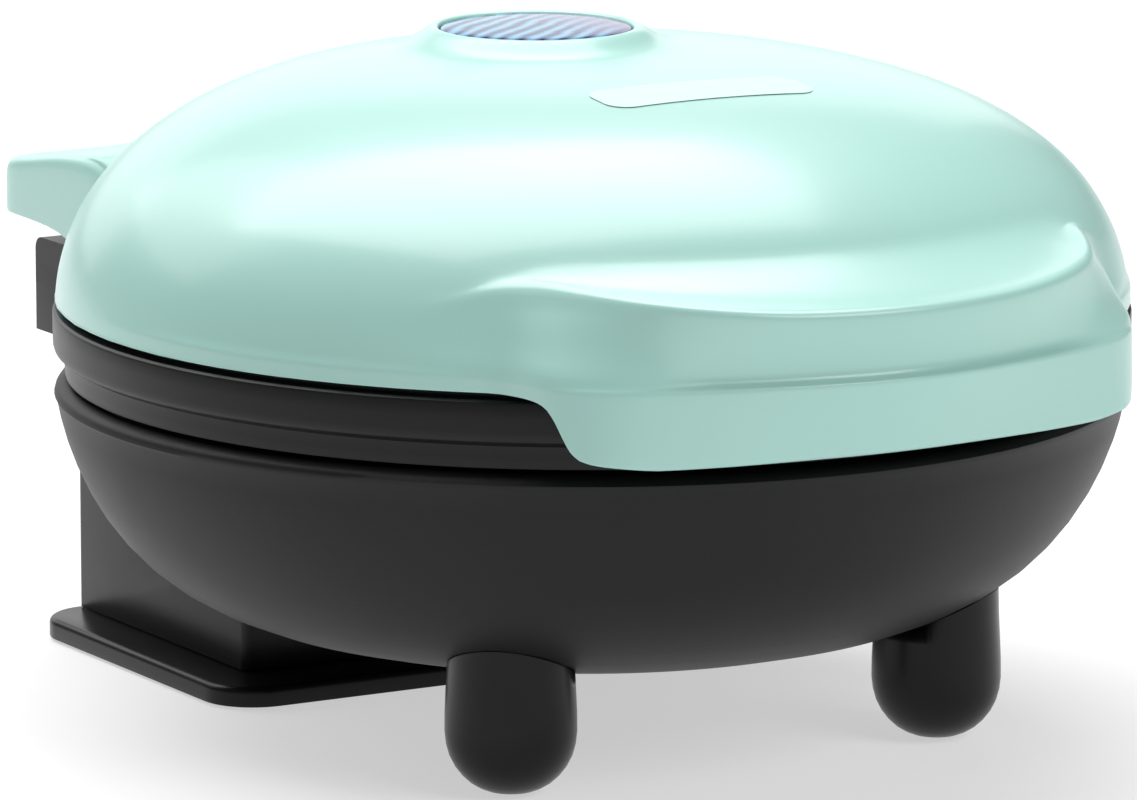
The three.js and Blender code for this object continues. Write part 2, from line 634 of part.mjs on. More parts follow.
function armSide() {
  const shape = new THREE.Shape();
  shape.moveTo(76, FRAME_TOP_Z - 7);
  shape.lineTo(HINGE_Y - HINGE_EYE_R, FRAME_TOP_Z - 9.5);
  shape.lineTo(HINGE_Y - HINGE_EYE_R, HINGE_Z - HINGE_EYE_R + 1);
  shape.lineTo(HINGE_Y - HINGE_EYE_R + 1, HINGE_Z - HINGE_EYE_R);
  shape.lineTo(HINGE_Y + HINGE_EYE_R - 1, HINGE_Z - HINGE_EYE_R);
  shape.lineTo(HINGE_Y + HINGE_EYE_R, HINGE_Z - HINGE_EYE_R + 1);
  shape.lineTo(HINGE_Y + HINGE_EYE_R, FRAME_TOP_Z);
  shape.lineTo(76, FRAME_TOP_Z);
  return shape;
}

function upperFrame() {
  const plateTop = LID_FACE_Z + PLATE_DEPTH + GAP;
  const inner = PLATE_R + GAP + 0.1;
  const ring = turned([[RIM_R, FRAME_TOP_Z], [RIM_R, 74.2], [103.3, 73.1], [102, 72.5],
    [101.8, 68.4], [101.2, 67.8], [inner, 67.8], [inner, plateTop],
    [LEDGE_R, plateTop], [LEDGE_R, plateTop + 2.4], [99, plateTop + 2.4], [99, SPIGOT_TOP_Z],
    [SPIGOT_R, SPIGOT_TOP_Z], [SPIGOT_R, FRAME_TOP_Z]], 36);
  const bore = cylinder(RIM_R - 3, 60, 95, 36);
  const arms = [-1, 1].map((side) => {
    const [x0, x1] = side > 0 ? [ARM_IN_X, ARM_OUT_X] : [-ARM_OUT_X, -ARM_IN_X];
    const eye = hingeRod(PIN_R + GAP, side, ARM_IN_X - 2, ARM_OUT_X - 2);
    return cut(across(armSide(), x0, x1), bore, eye);
  });
  return join(ring, ...arms);
}

// ---- assembly ----

const donutMaker = new THREE.Group();
donutMaker.position.y = BODY_Y;
const base = new THREE.Group();
const lid = new THREE.Group();
donutMaker.add(base, lid);

function place(parent, name, geometry, material) {
  const mesh = new THREE.Mesh(geometry, material);
  mesh.name = name;
  parent.add(mesh);
  return mesh;
}

// A stack drawn with its plate face at z = 0: upright under the base's face, turned over in the lid.
function stackGroup(parent, faceZ, flipped) {
  const group = new THREE.Group();
  group.position.z = faceZ;
  group.rotation.x = flipped ? Math.PI : 0;
  parent.add(group);
  return group;
}

function placeHeatStack(parent, prefix, faceZ, flipped) {
  const stack = stackGroup(parent, faceZ, flipped);
  place(stack, `${prefix}_cooking_plate`, cookingPlate(), nonStick);
  place(stack, `${prefix}_heating_element`, heatingElement(), sheathSteel);
  place(stack, `${prefix}_heat_reflector`, heatReflector(), reflectorAluminium);
  bossCentres().forEach(([x, y], i) => {
    place(stack, `${prefix}_plate_screw_${i + 1}`, plateScrew(), zincSteel).position.set(x, y, 0);
  });
  place(stack, `${prefix}_thermostat`, thermostat(), ceramic).position.set(-18, -22, 0);
  return stack;
}

place(base, 'base_housing', baseHousing(), matteBlack);
place(base, 'front_foot_left', frontFoot(-1), footBlack);
place(base, 'front_foot_right', frontFoot(1), footBlack);
place(base, 'cord_wrap_tower', cordWrapTower(), satinBlack);
place(base, 'rear_foot_plate', rearFootPlate(), footBlack);
towerPosts().forEach(([x, y], i) => {
  place(base, `foot_plate_screw_${i + 1}`, footPlateScrew(), zincSteel).position.set(x, y, 1.9);
});
place(base, 'hinge_pin_left', hingeRod(PIN_R, -1, TOWER_X - 10, ARM_OUT_X - 2.5), zincSteel);
place(base, 'hinge_pin_right', hingeRod(PIN_R, 1, TOWER_X - 10, ARM_OUT_X - 2.5), zincSteel);
place(base, 'cord_gland', cordGland(), footBlack);
place(base, 'terminal_block', terminalBlock(), ceramic);
placeHeatStack(base, 'lower', BASE_FACE_Z, false);

place(lid, 'lid_cover', lidCover(), mintPlastic);
place(lid, 'upper_frame', upperFrame(), satinBlack);
place(lid, 'indicator_lens', indicatorLens(), tintedLens);
place(lid, 'indicator_board', indicatorBoard(), circuitGreen);
place(lid, 'indicator_lamp_left', indicatorLamp(-1), lampRed);
place(lid, 'indicator_lamp_right', indicatorLamp(1), lampWhite);
const upperStack = placeHeatStack(lid, 'upper', LID_FACE_Z, true);
place(upperStack, 'thermal_fuse', thermalFuse(), ceramic).position.set(24, 10, 0);

export default donutMaker;
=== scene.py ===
"""Seven-ring donut maker: a mint domed lid on a rear hinge over a matte black bowl.

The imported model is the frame. Each section below makes one piece, or one group of like
pieces, in the order in which the object is put together. Shapes are drawn in millimetres and
set down in metres.
"""
import json
import math

import bmesh
import bpy
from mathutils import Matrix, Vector


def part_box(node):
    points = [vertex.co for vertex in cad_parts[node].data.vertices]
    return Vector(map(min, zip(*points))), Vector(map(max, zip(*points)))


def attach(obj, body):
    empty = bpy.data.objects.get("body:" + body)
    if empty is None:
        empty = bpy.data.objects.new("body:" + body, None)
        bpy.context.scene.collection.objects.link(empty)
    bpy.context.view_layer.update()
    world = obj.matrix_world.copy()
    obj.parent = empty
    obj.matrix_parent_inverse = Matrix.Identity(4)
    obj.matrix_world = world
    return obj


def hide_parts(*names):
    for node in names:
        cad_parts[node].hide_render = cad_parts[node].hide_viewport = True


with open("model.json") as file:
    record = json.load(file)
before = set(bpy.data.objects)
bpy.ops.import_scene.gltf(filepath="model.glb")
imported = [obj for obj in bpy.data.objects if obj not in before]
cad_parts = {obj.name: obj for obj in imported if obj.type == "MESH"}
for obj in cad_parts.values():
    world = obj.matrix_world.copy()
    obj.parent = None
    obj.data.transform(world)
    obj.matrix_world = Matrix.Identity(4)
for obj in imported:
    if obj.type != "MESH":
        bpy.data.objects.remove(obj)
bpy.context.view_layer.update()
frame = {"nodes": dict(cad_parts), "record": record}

MM = 0.001

# --- Camera -------------------------------------------------------------------------------
# A long lens a little above the worktop and to the left of the front, so that the lid, the
# left post foot and the flange of the rear foot all show. The round body's own axis stands
# a little in front of the object's middle; every turned piece is drawn about it.
bowl_low, bowl_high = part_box("base_housing")
body_y = (bowl_low.y + bowl_high.y) / 2
camera_turn = math.radians(-30.1)
camera_rise = math.radians(10.95)
camera_distance = 1.766
camera_aim = Vector((0, body_y, 0.060))
camera_back = Vector((
    math.sin(camera_turn) * math.cos(camera_rise),
    -math.cos(camera_turn) * math.cos(camera_rise),
    math.sin(camera_rise),
))
camera_data = bpy.data.cameras.new("camera")
camera_data.lens = 289.1
camera_data.sensor_width = 36
camera_data.shift_x = -0.0207
camera_data.shift_y = 0.0064
camera_data.clip_start = 0.05
camera = bpy.data.objects.new("camera", camera_data)
camera.location = camera_aim + camera_back * camera_distance
camera.rotation_euler = camera_back.to_track_quat("Z", "Y").to_euler()
bpy.context.scene.collection.objects.link(camera)
bpy.context.scene.camera = camera


# --- Base housing -------------------------------------------------------------------------
# The deep bowl that carries the lower plate. It is injection moulded in black plastic with a
# fine spark-eroded grain, and its rounded rim meets the lid's black frame in a shallow groove.
RIM_R = 104
WALL = 2.2
WELD_GAP = 0.00001


def deselect_all():
    if bpy.context.object and bpy.context.object.mode != "OBJECT":
        bpy.ops.object.mode_set(mode="OBJECT")
    bpy.ops.object.select_all(action="DESELECT")


def named(name):
    """The object just added, renamed, with its place moved into its mesh."""
    piece = bpy.context.object
    piece.name = name
    piece.data.name = name
    bpy.ops.object.transform_apply(location=True, rotation=True, scale=True)
    return piece


def tidy_mesh(piece, smooth_angle=40):
    """Doubles merged, faces turned outwards, and only real edges left sharp."""
    deselect_all()
    piece.select_set(True)
    bpy.context.view_layer.objects.active = piece
    bpy.ops.object.mode_set(mode="EDIT")
    bpy.ops.mesh.select_all(action="SELECT")
    bpy.ops.mesh.remove_doubles(threshold=WELD_GAP)
    bpy.ops.mesh.normals_make_consistent(inside=False)
    bpy.ops.object.mode_set(mode="OBJECT")
    bpy.ops.object.shade_smooth_by_angle(angle=math.radians(smooth_angle))
    return piece


def turned(name, rows, steps=128, centre=(0, 0), close="poles"):
    """A ring drawn up into the next, row after row. Each row is (radius, height, lean back).

    close is "poles" to gather both end rings to a point, or "loop" to bridge them.
    """
    deselect_all()
    rows = [(*row, 0)[:3] for row in rows]
    radius, height, lean = rows[0]
    place = (centre[0] * MM, body_y + (centre[1] + lean) * MM, height * MM)
    bpy.ops.mesh.primitive_circle_add(vertices=steps, radius=radius * MM, location=place)
    bpy.ops.object.mode_set(mode="EDIT")
    bpy.ops.mesh.select_all(action="SELECT")
    if close == "poles":
        bpy.ops.mesh.edge_face_add()
        bpy.ops.mesh.poke()
        bpy.ops.mesh.region_to_loop()
    for (r0, z0, lean0), (r1, z1, lean1) in zip(rows, rows[1:]):
        step = {"value": (0, (lean1 - lean0) * MM, (z1 - z0) * MM)}
        bpy.ops.mesh.extrude_region_move(TRANSFORM_OT_translate=step)
        bpy.ops.transform.resize(value=(r1 / r0, r1 / r0, 1))
    if close == "poles":
        bpy.ops.mesh.edge_face_add()
        bpy.ops.mesh.poke()
    else:
        bpy.ops.mesh.select_all(action="DESELECT")
        edit = bmesh.from_edit_mesh(bpy.context.object.data)
        for edge in edit.edges:
            edge.select_set(edge.is_boundary)
        bmesh.update_edit_mesh(bpy.context.object.data)
        bpy.ops.mesh.bridge_edge_loops()
    bpy.ops.object.mode_set(mode="OBJECT")
    return tidy_mesh(named(name))


def select_where(test):
    """In edit mode, selects the vertices that pass the test, and the faces between them."""
    edit = bmesh.from_edit_mesh(bpy.context.object.data)
    edit.select_mode = {"VERT"}
    for vert in edit.verts:
        vert.select_set(bool(test(vert)))
    edit.select_flush_mode()
    bmesh.update_edit_mesh(bpy.context.object.data)


def moulded_plastic(name, color, roughness, grain_size, grain_depth, mottle, coat=0.0, specular=0.5):
    """Moulded plastic: a fine grain in the surface, and slow patches of a little more gloss."""
    material = bpy.data.materials.new(name)
    material.use_nodes = True
    nodes, links = material.node_tree.nodes, material.node_tree.links
    shader = nodes["Principled BSDF"]
    shader.inputs["Specular IOR Level"].default_value = specular
    shader.inputs["Coat Weight"].default_value = coat
    shader.inputs["Coat Roughness"].default_value = 0.16
    place = nodes.new("ShaderNodeTexCoord")
    patches = nodes.new("ShaderNodeTexNoise")
    patches.inputs["Scale"].default_value = 38
    patches.inputs["Detail"].default_value = 5
    links.new(place.outputs["Object"], patches.inputs["Vector"])
    tone = nodes.new("ShaderNodeMix")
    tone.data_type = "RGBA"
    tone.inputs["A"].default_value = (*[c * (1 - mottle / 2) for c in color], 1)
    tone.inputs["B"].default_value = (*[min(c * (1 + mottle / 2), 1) for c in color], 1)
    links.new(patches.outputs["Fac"], tone.inputs["Factor"])
    links.new(tone.outputs["Result"], shader.inputs["Base Color"])
    gloss = nodes.new("ShaderNodeMapRange")
    gloss.inputs["To Min"].default_value = roughness * (1 - mottle)
    gloss.inputs["To Max"].default_value = roughness * (1 + mottle)
    links.new(patches.outputs["Fac"], gloss.inputs["Value"])
    links.new(gloss.outputs["Result"], shader.inputs["Roughness"])
    grain = nodes.new("ShaderNodeTexNoise")
    grain.inputs["Scale"].default_value = 1 / grain_size
    grain.inputs["Detail"].default_value = 3
    links.new(place.outputs["Object"], grain.inputs["Vector"])
    bump = nodes.new("ShaderNodeBump")
    bump.inputs["Strength"].default_value = 1.0
    bump.inputs["Distance"].default_value = grain_depth
    links.new(grain.outputs["Fac"], bump.inputs["Height"])
    links.new(bump.outputs["Normal"], shader.inputs["Normal"])
    return material


def finish_piece(piece, material, body, slot, *replaced):
    piece.data.materials.clear()
    piece.data.materials.append(material)
    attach(piece, body)
    if replaced:
        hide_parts(*replaced)
    return piece


BOWL_TOP, BOWL_DROP, BOWL_R = 69, 51.26, 103.73
BOWL_SIDE, BOWL_BELLY = 2 / 4.642, 2 / 1.652
BOWL_LEAN, BOWL_LEAN_MORE, BOWL_LEAN_LATE = 0.47, 1.77, 2.12


def bowl_row(turn, offset=0):
    """(radius, height, lean) of the bowl at a turn of 0 under the rim to 90 at its bottom."""
    t = math.radians(turn)
    radius = (BOWL_R + offset) * math.cos(t) ** BOWL_SIDE
    height = BOWL_TOP - (BOWL_DROP + offset) * math.sin(t) ** BOWL_BELLY
    return radius, height, BOWL_LEAN + BOWL_LEAN_MORE * math.sin(t) ** BOWL_LEAN_LATE


housing_black = moulded_plastic(
    "housing_black", (0.009, 0.0092, 0.0094), roughness=0.48, grain_size=0.00042,
    grain_depth=0.00003, mottle=0.1, specular=0.25)
bowl_turns = [5, 9, 14, 19, 25, 31, 37, 43, 49, 55, 61, 67, 73, 78, 82, 85, 87.5, 89]
bowl_inside = [bowl_row(turn, -WALL) for turn in reversed(bowl_turns[5:])]
ledge_rows = [(98, 54.5), (95.6, 57.5), (95.5, 60.3), (99.0, 60.4), (99.1, 61)]
rim_rows = [(99.1, 66.1), (99.25, 66.6), (99.8, 66.9), (100.8, 66.95), (101.6, 66.8), (102.3, 66.45),
            (103.1, 65.9), (103.6, 65.2), (103.7, 64.3, 0.3)]
bowl_outside = [bowl_row(turn) for turn in bowl_turns[1:]]
bowl = turned("bowl_shell", [*bowl_inside, *ledge_rows, *rim_rows, *bowl_outside])
finish_piece(bowl, housing_black, "base", "housing_black", "base_housing")


# --- Front feet ---------------------------------------------------------------------------
# Two round posts moulded in glossier black plastic, with a domed end that stands on the
# worktop. Each is drawn in a touch towards its top and is cut to the curve of the bowl.
def bowl_underside(x, y):
    """Height of the bowl's outside over a point, in millimetres about the body's axis."""
    low, high = 0.0, 90.0
    for _ in range(30):
        middle = (low + high) / 2
        radius, _, lean = bowl_row(middle)
        if math.hypot(x, y - lean) > radius:
            high = middle
        else:
            low = middle
    return bowl_row(low)[1]


def trim_to_bowl(piece, above, clearance=0.15):
    """Moves every vertex higher than `above` straight up or down to just under the bowl."""
    for vert in piece.data.vertices:
        if vert.co.z > above * MM:
            height = bowl_underside(vert.co.x / MM, (vert.co.y - body_y) / MM)
            vert.co.z = (height - clearance) * MM


foot_black = moulded_plastic(
    "foot_black", (0.004, 0.0041, 0.0042), roughness=0.3, grain_size=0.0009,
    grain_depth=0.000012, mottle=0.16, specular=0.25)
FOOT_X, FOOT_Y, FOOT_NECK = 47, -50.8, 28
foot_rows = [(1.5, 0), (3.2, 0.02), (4.6, 0.25), (6.2, 0.9), (7.8, 1.9), (9.3, 3.3), (10.6, 5),
             (11.6, 7), (12.2, 9.2), (12.45, 11.5), (12.42, 15), (12.2, 20), (12.0, 24), (11.9, 32),
             (9, 32), (3, 32)]
for side, name in ((-1, "left"), (1, "right")):
    foot = turned(f"post_foot_{name}", foot_rows, steps=72, centre=(FOOT_X * side, FOOT_Y))
    trim_to_bowl(foot, FOOT_NECK)
    finish_piece(foot, foot_black, "base", "foot_black", f"front_foot_{name}")


# --- Cord-wrap tower ----------------------------------------------------------------------
# The box behind and under the bowl that holds the terminals; the mains lead winds round it.
# Satin black plastic, a little eased at its upright corners, with the hinge knuckle along its
# top. It is cut to the curve of the bowl and is open at the bottom.
def block(name, low, high):
    """A box between two corners given in millimetres about the body's axis."""
    deselect_all()
    middle = [(a + b) / 2 * MM for a, b in zip(low, high)]
    middle[1] += body_y
    size = [(b - a) * MM for a, b in zip(low, high)]
    bpy.ops.mesh.primitive_cube_add(size=1, location=middle, scale=size)
    return named(name)


def round_edges(piece, radius, segments, test):
    """Bevels the edges whose two ends pass the test."""
    deselect_all()
    piece.select_set(True)
    bpy.context.view_layer.objects.active = piece
    bpy.ops.object.mode_set(mode="EDIT")
    bpy.ops.mesh.select_all(action="DESELECT")
    edit = bmesh.from_edit_mesh(piece.data)
    edit.select_mode = {"EDGE"}
    for edge in edit.edges:
        edge.select_set(bool(test(edge.verts[0].co, edge.verts[1].co)))
    edit.select_flush_mode()
    bmesh.update_edit_mesh(piece.data)
    bpy.ops.mesh.bevel(offset=radius * MM, offset_type="OFFSET", segments=segments, profile=0.5)
    bpy.ops.object.mode_set(mode="OBJECT")
    return piece


def upright_edge(a, b):
    return abs(a.x - b.x) + abs(a.y - b.y) < 1e-6


def combine(piece, tool, operation):
    """Joins or cuts with a tool piece, which is then thrown away."""
    deselect_all()
    bpy.context.view_layer.objects.active = piece
    piece.select_set(True)
    modifier = piece.modifiers.new("combine", "BOOLEAN")
    modifier.operation = operation
    modifier.solver = "EXACT"
    modifier.object = tool
    bpy.ops.object.modifier_apply(modifier=modifier.name)
    bpy.data.objects.remove(tool)
    return piece


def soften(piece, width, segments=2, angle=35):
    """A small radius on every sharp edge, as any moulding has."""
    deselect_all()
    bpy.context.view_layer.objects.active = piece
    piece.select_set(True)
    bevel = piece.modifiers.new("soften", "BEVEL")
    bevel.width = width * MM
    bevel.segments = segments
    bevel.limit_method = "ANGLE"
    bevel.angle_limit = math.radians(angle)
    bpy.ops.object.modifier_apply(modifier=bevel.name)
    return tidy_mesh(piece, 30)


def bar(name, radius, x0, x1, y, z, steps=48):
    """A round bar that lies across the object."""
    deselect_all()
    place = ((x0 + x1) / 2 * MM, body_y + y * MM, z * MM)
    bpy.ops.mesh.primitive_cylinder_add(
        vertices=steps, radius=radius * MM, depth=abs(x1 - x0) * MM,
        location=place, rotation=(0, math.pi / 2, 0))
    return named(name)


HINGE_Y, HINGE_Z = 112, 69.5
KNUCKLE_R, PIN_R = 7, 3
TOWER_X, TOWER_FRONT, TOWER_BACK = 51.5, 47, 119
TOWER_FOOT, TOWER_ROOM_TOP = 4.3, 62
frame_black = moulded_plastic(
    "frame_black", (0.006, 0.0061, 0.0063), roughness=0.38, grain_size=0.0007,
    grain_depth=0.000015, mottle=0.14, specular=0.28)
tower = block("tower_shell", (-TOWER_X, TOWER_FRONT, TOWER_FOOT), (TOWER_X, TOWER_BACK, HINGE_Z))
round_edges(tower, 1.8, 5, upright_edge)
combine(tower, bar("knuckle", KNUCKLE_R, -TOWER_X, TOWER_X, HINGE_Y, HINGE_Z), "UNION")
bowl_hollow = [bowl_row(turn, 0.2) for turn in reversed(bowl_turns)]
bowl_hollow += [(RIM_R + 0.8, BOWL_TOP), (RIM_R + 0.8, 84)]
combine(tower, turned("bowl_tool", bowl_hollow, steps=96), "DIFFERENCE")
tower_room = block("tower_room", (WALL - TOWER_X, TOWER_FRONT + WALL, TOWER_FOOT - WALL),
                   (TOWER_X - WALL, TOWER_BACK - WALL, TOWER_ROOM_TOP))
combine(tower, tower_room, "DIFFERENCE")
combine(tower, bar("pin_bore", PIN_R + 0.1, -70, 70, HINGE_Y, HINGE_Z), "DIFFERENCE")
soften(tower, 0.5)
finish_piece(tower, frame_black, "base", "frame_black", "cord_wrap_tower")


# --- Rear foot plate ----------------------------------------------------------------------
# The flange that stands on the worktop and keeps the wound lead up: a flat plate with
# generous corners and an eased upper edge, screwed up into the tower from below.
FLANGE_X, FLANGE_FRONT, FLANGE_BACK, FLANGE_TOP = 62, 33, 119.5, 4.1
SCREW_PLACES = [(-45.5, 53), (45.5, 53), (-45.5, 113), (45.5, 113)]
WELL_R, WELL_DEPTH = 3.3, 2.2
foot_plate = block("rear_flange", (-FLANGE_X, FLANGE_FRONT, 0), (FLANGE_X, FLANGE_BACK, FLANGE_TOP))
round_edges(foot_plate, 11, 12, upright_edge)
round_edges(foot_plate, 1.3, 4, lambda a, b: min(a.z, b.z) > (FLANGE_TOP - 0.1) * MM)
round_edges(foot_plate, 0.4, 2, lambda a, b: max(a.z, b.z) < 0.1 * MM)
for x, y in sorted(SCREW_PLACES):
    well = turned("screw_well", [(WELL_R, -1), (WELL_R, WELL_DEPTH)], steps=32, centre=(x, y))
    combine(foot_plate, well, "DIFFERENCE")
tidy_mesh(foot_plate, 30)
finish_piece(foot_plate, foot_black, "base", "foot_black", "rear_foot_plate")


# --- Foot plate screws --------------------------------------------------------------------
# Four zinc-plated steel screws with a pan head and a cross recess, sunk in the wells under the
# foot plate. They hold the plate up against the tower.
def plated_metal(name, color, roughness, scratch_size=0.0006):
    """Bare or plated metal with fine scratches and a slow change of tone."""
    material = bpy.data.materials.new(name)
    material.use_nodes = True
    nodes, links = material.node_tree.nodes, material.node_tree.links
    shader = nodes["Principled BSDF"]
    shader.inputs["Metallic"].default_value = 1.0
    place = nodes.new("ShaderNodeTexCoord")
    stretch = nodes.new("ShaderNodeMapping")
    stretch.inputs["Scale"].default_value = (1, 0.12, 1)
    links.new(place.outputs["Object"], stretch.inputs["Vector"])
    scratches = nodes.new("ShaderNodeTexNoise")
    scratches.inputs["Scale"].default_value = 1 / scratch_size
    scratches.inputs["Detail"].default_value = 4
    links.new(stretch.outputs["Vector"], scratches.inputs["Vector"])
    tone = nodes.new("ShaderNodeMix")
    tone.data_type = "RGBA"
    tone.inputs["A"].default_value = (*[c * 0.86 for c in color], 1)
    tone.inputs["B"].default_value = (*[min(c * 1.08, 1) for c in color], 1)
    links.new(scratches.outputs["Fac"], tone.inputs["Factor"])
    links.new(tone.outputs["Result"], shader.inputs["Base Color"])
    gloss = nodes.new("ShaderNodeMapRange")
    gloss.inputs["To Min"].default_value = roughness * 0.75
    gloss.inputs["To Max"].default_value = roughness * 1.25
    links.new(scratches.outputs["Fac"], gloss.inputs["Value"])
    links.new(gloss.outputs["Result"], shader.inputs["Roughness"])
    bump = nodes.new("ShaderNodeBump")
    bump.inputs["Distance"].default_value = 0.000004
    links.new(scratches.outputs["Fac"], bump.inputs["Height"])
    links.new(bump.outputs["Normal"], shader.inputs["Normal"])
    return material


def copied(piece, name, x, y):
    """The same piece again, with its own mesh, moved by millimetres."""
    twin = piece.copy()
    twin.data = piece.data.copy()
    twin.name = twin.data.name = name
    bpy.context.scene.collection.objects.link(twin)
    for vert in twin.data.vertices:
        vert.co.x += x * MM
        vert.co.y += y * MM
    return twin


zinc_steel = plated_metal("zinc_steel", (0.62, 0.62, 0.6), roughness=0.34)
screw_rows = [(0.4, 0.5), (1.4, 0.52), (2.2, 0.65), (2.75, 0.95), (2.95, 1.35), (2.98, 1.85), (1.7, 1.9),
              (1.6, 2.3), (1.6, 11), (0.5, 12)]
master_screw = turned("screw_master", screw_rows, steps=32)
for half_x, half_y in ((1.6, 0.32), (0.32, 1.6)):
    slot = block("recess_slot", (-half_x, -half_y, 0), (half_x, half_y, 1.3))
    combine(master_screw, slot, "DIFFERENCE")
tidy_mesh(master_screw, 30)
for number, (x, y) in enumerate(SCREW_PLACES, 1):
    screw = copied(master_screw, f"foot_screw_{number}", x, y)
    finish_piece(screw, zinc_steel, "base", "zinc_steel", f"foot_plate_screw_{number}")
bpy.data.objects.remove(master_screw)


# --- Cord gland ---------------------------------------------------------------------------
# The flanged bush in the tower's back wall where the mains lead goes in. A soft black plastic
# moulding with a rounded mouth, pressed in from outside.
gland_low, gland_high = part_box("cord_gland")
gland_z = (gland_low.z + gland_high.z) / 2 / MM
gland_rows = [(3.4, -6.5), (3.4, 1.2), (3.7, 1.8), (4.3, 2.0), (6.2, 2.0), (6.8, 1.8), (7.0, 1.3),
              (7.0, 0.35), (5.4, 0.3), (5.4, -6.5)]
gland = turned("gland_bush", gland_rows, steps=48, close="loop")
for vert in gland.data.vertices:
    across, along, outward = vert.co.x, vert.co.y - body_y, vert.co.z
    vert.co = (across, body_y + TOWER_BACK * MM + outward, gland_z * MM - along)
tidy_mesh(gland, 35)
finish_piece(gland, foot_black, "base", "foot_black", "cord_gland")


# --- Lid cover ----------------------------------------------------------------------------
# The mint dome: one thin gloss moulding with a grip drawn out of its front, a square hood at
# its back that covers the hinge, and a raised seat for the lens. It is drawn as one cage of
# rings and columns, given its wall, and smoothed as a subdivision surface.
DOME_BASE, DOME_RISE = 79, 49.4
DOME_SIDE, DOME_CROWN = 3.213, 2.136
DOME_LEAN, DOME_LEAN_LATE = 10.2, 8
LENS_Y = 21.7
LID_EDGE, GRIP_EDGE = 82.4, 70.3
SHOULDER_Z, SHELF_Z, CREASE_Z = 106.5, 104.4, 85


def dome_row(turn):
    """(radius, height, lean) of the plain dome, 0 at its foot to 90 at its top."""
    t = math.radians(turn)
    radius = RIM_R * math.cos(t) ** (2 / DOME_SIDE)
    height = DOME_BASE + DOME_RISE * math.sin(t) ** (2 / DOME_CROWN)
    return radius, height, DOME_LEAN * math.sin(t) ** DOME_LEAN_LATE


def dome_radius(height):
    rise = ((height - DOME_BASE) / DOME_RISE) ** (DOME_CROWN / 2)
    return RIM_R * (1 - rise * rise) ** (1 / DOME_SIDE)


def dome_height(x, y):
    """Height of the plain dome over a point, in millimetres about the body's axis."""
    low, high = 0.0, 90.0
    for _ in range(36):
        middle = (low + high) / 2
        radius, _, lean = dome_row(middle)
        if math.hypot(x, y - lean) < radius:
            low = middle
        else:
            high = middle
    return dome_row(low)[1]


def smooth_line(keys, x):
    """Value at x on a smooth line through (x, value) pairs that never overshoots them."""
    if x <= keys[0][0]:
        return keys[0][1]
    if x >= keys[-1][0]:
        return keys[-1][1]
    rises = [(b[1] - a[1]) / (b[0] - a[0]) for a, b in zip(keys, keys[1:])]
    slopes = [0.0]
    for before, after in zip(rises, rises[1:]):
        slopes.append(2 * before * after / (before + after) if before * after > 0 else 0.0)
    slopes.append(rises[-1])
    i = max(k for k, key in enumerate(keys[:-1]) if key[0] <= x)
    width = keys[i + 1][0] - keys[i][0]
    t = (x - keys[i][0]) / width
    return ((2 * t**3 - 3 * t**2 + 1) * keys[i][1] + (t**3 - 2 * t**2 + t) * width * slopes[i]
            + (3 * t**2 - 2 * t**3) * keys[i + 1][1] + (t**3 - t**2) * width * slopes[i + 1])


def ease(x, start, end):
    t = min(max((x - start) / (end - start), 0), 1)
    return t * t * (3 - 2 * t)


def mix(a, b, share):
    return a + (b - a) * share


# The grip's lines seen from above, as (degrees off the front, radius), and the heights of its
# crest and its lower edge. The last list is the plain lid's rows, from its shoulder down.
CREST = [(0, 117.4), (8, 117.1), (14, 116.9), (18, 116.2), (22, 114.6), (26, 112), (30, 108.2),
         (34, 104.2), (38, 100.8), (43, 97.9), (49, 96.2)]
CREST_HIGH = [(0, 98.4), (10, 98.7), (18, 99.8), (26, 101.2), (34, 102.6), (43, 103.6), (49, 104)]
CREASE = [(0, 117), (8.6, 116.1), (14.4, 115.4), (19, 115.3), (23, 115.5), (27, 115.8), (30, 115.2),
          (32, 114.2), (34, 112.6), (35, 111.4), (36, 109.9), (37, 108.2), (38, 106.6), (39, 105.3),
          (40.5, 104.4), (42.5, RIM_R)]
SKIRT = [(0, 111.4), (8, 111.5), (12, 112), (16, 113), (20, 114), (24, 115), (27, 116), (28.5, 116.2),
         (30, 115.8), (32, 114.5), (33, 113.6), (34, 112.5), (35, 111.1), (36, 109.5), (37, 107.8),
         (38, 106.2), (39, 104.9), (40, 104.2), (41.5, RIM_R)]
EDGE = [(0, GRIP_EDGE), (24, GRIP_EDGE), (27, 70.9), (30, 71.6), (31.3, 72.3), (32, 73.4), (33, 76.8),
        (34, 80.6), (35, 82), (36.5, LID_EDGE), (180, LID_EDGE)]
PLAIN_HEIGHTS = [SHOULDER_Z, SHELF_Z, 102.4, 100.4, 98.6, 97.2, 95.8, 94, 91.8, 89.6, 87.8, 86.6,
                 85.6, 84.7, 84.1, 83.5, 82.9, LID_EDGE]
FIRST_SKIRT_ROW = 12


